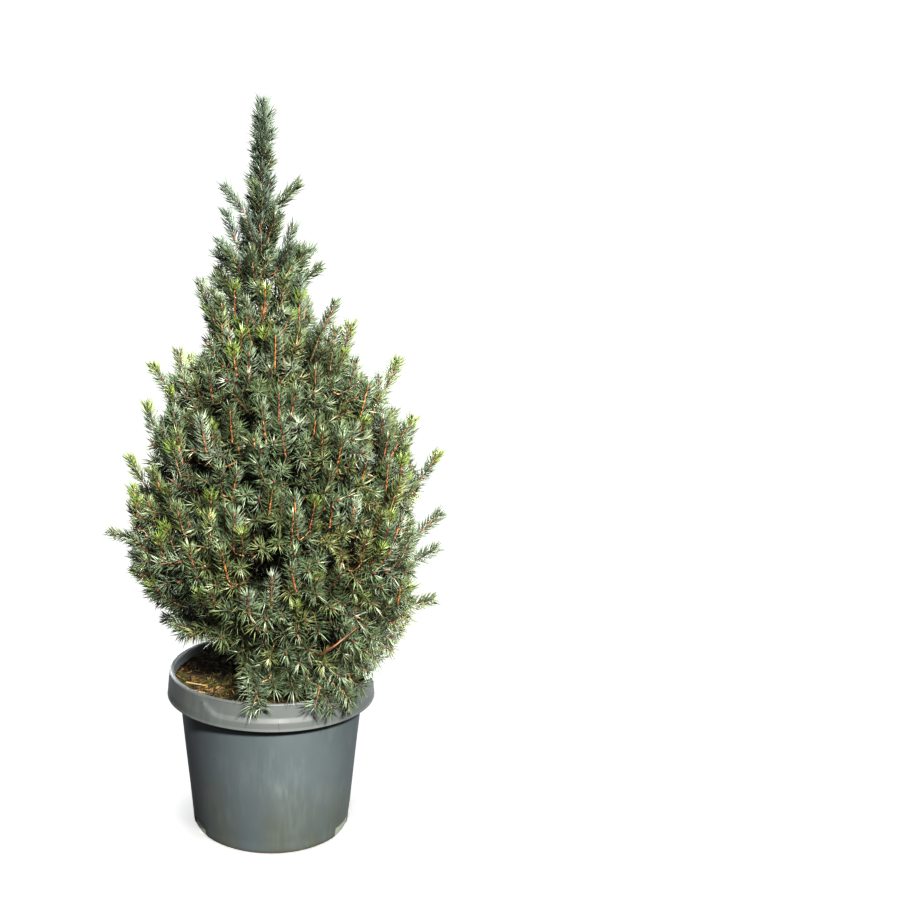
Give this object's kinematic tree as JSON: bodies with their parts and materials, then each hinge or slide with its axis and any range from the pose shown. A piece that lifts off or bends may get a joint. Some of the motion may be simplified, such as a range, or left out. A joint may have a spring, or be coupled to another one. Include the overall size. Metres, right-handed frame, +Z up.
{
  "type": "potted blue spruce",
  "caption": "Dwarf blue spruce with a dense cone-shaped crown of short needles and a thin leader, growing in a round grey nursery pot that stands on its flat base.",
  "frame": {"origin": "centre of the flat underside of the pot, on the ground", "axes": "+Z up along the trunk to the leader's tip, -Y towards the front of the plant, +X to the right seen from the front"},
  "size_m": [0.3664, 0.3279, 0.7891],
  "materials": {
    "pot_plastic": "injection-moulded grey polypropylene, satin, slightly scuffed and soiled towards the foot",
    "soil": "dark peat and bark compost with moss, bark chips and fallen needles",
    "bark": "thin scaly brown bark, orange to tan on the young twigs",
    "needles": "waxy blue-green needles, fresh yellow-green at the tips"
  },
  "bodies": {
    "root": {"back_outer_shoot": "needles", "back_upper_shoot": "needles", "belt_bough_1": "bark", "belt_bough_2": "bark", "belt_bough_3": "bark", "belt_bough_4": "bark", "belt_bough_5": "bark", "belt_bough_6": "bark", "belt_mass_1": "needles", "belt_mass_2": "needles", "belt_mass_3": "needles", "belt_mass_4": "needles", "belt_mass_5": "needles", "belt_mass_6": "needles", "leader_mass": "needles", "low_left_shoot": "needles", "low_right_shoot": "needles", "middle_bough_1": "bark", "middle_bough_2": "bark", "middle_bough_3": "bark", "middle_bough_4": "bark", "middle_bough_5": "bark", "middle_mass_1": "needles", "middle_mass_2": "needles", "middle_mass_3": "needles", "middle_mass_4": "needles", "middle_mass_5": "needles", "neck_left_shoot": "needles", "neck_mass": "needles", "neck_right_shoot": "needles", "outer_left_shoot": "needles", "outer_right_shoot": "needles", "pot": "pot_plastic", "rim_front_shoot": "needles", "shoulder_bough_1": "bark", "shoulder_bough_2": "bark", "shoulder_bough_3": "bark", "shoulder_bough_4": "bark", "shoulder_mass_1": "needles", "shoulder_mass_2": "needles", "shoulder_mass_3": "needles", "shoulder_mass_4": "needles", "shoulder_right_shoot": "needles", "skirt_bough_1": "bark", "skirt_bough_2": "bark", "skirt_bough_3": "bark", "skirt_bough_4": "bark", "skirt_bough_5": "bark", "skirt_mass_1": "needles", "skirt_mass_2": "needles", "skirt_mass_3": "needles", "skirt_mass_4": "needles", "skirt_mass_5": "needles", "soil": "soil", "spire_left_shoot": "needles", "spire_mass": "needles", "spire_right_shoot": "needles", "trunk": "bark", "upper_left_shoot": "needles", "upper_right_shoot": "needles"}
  },
  "joints": []
}
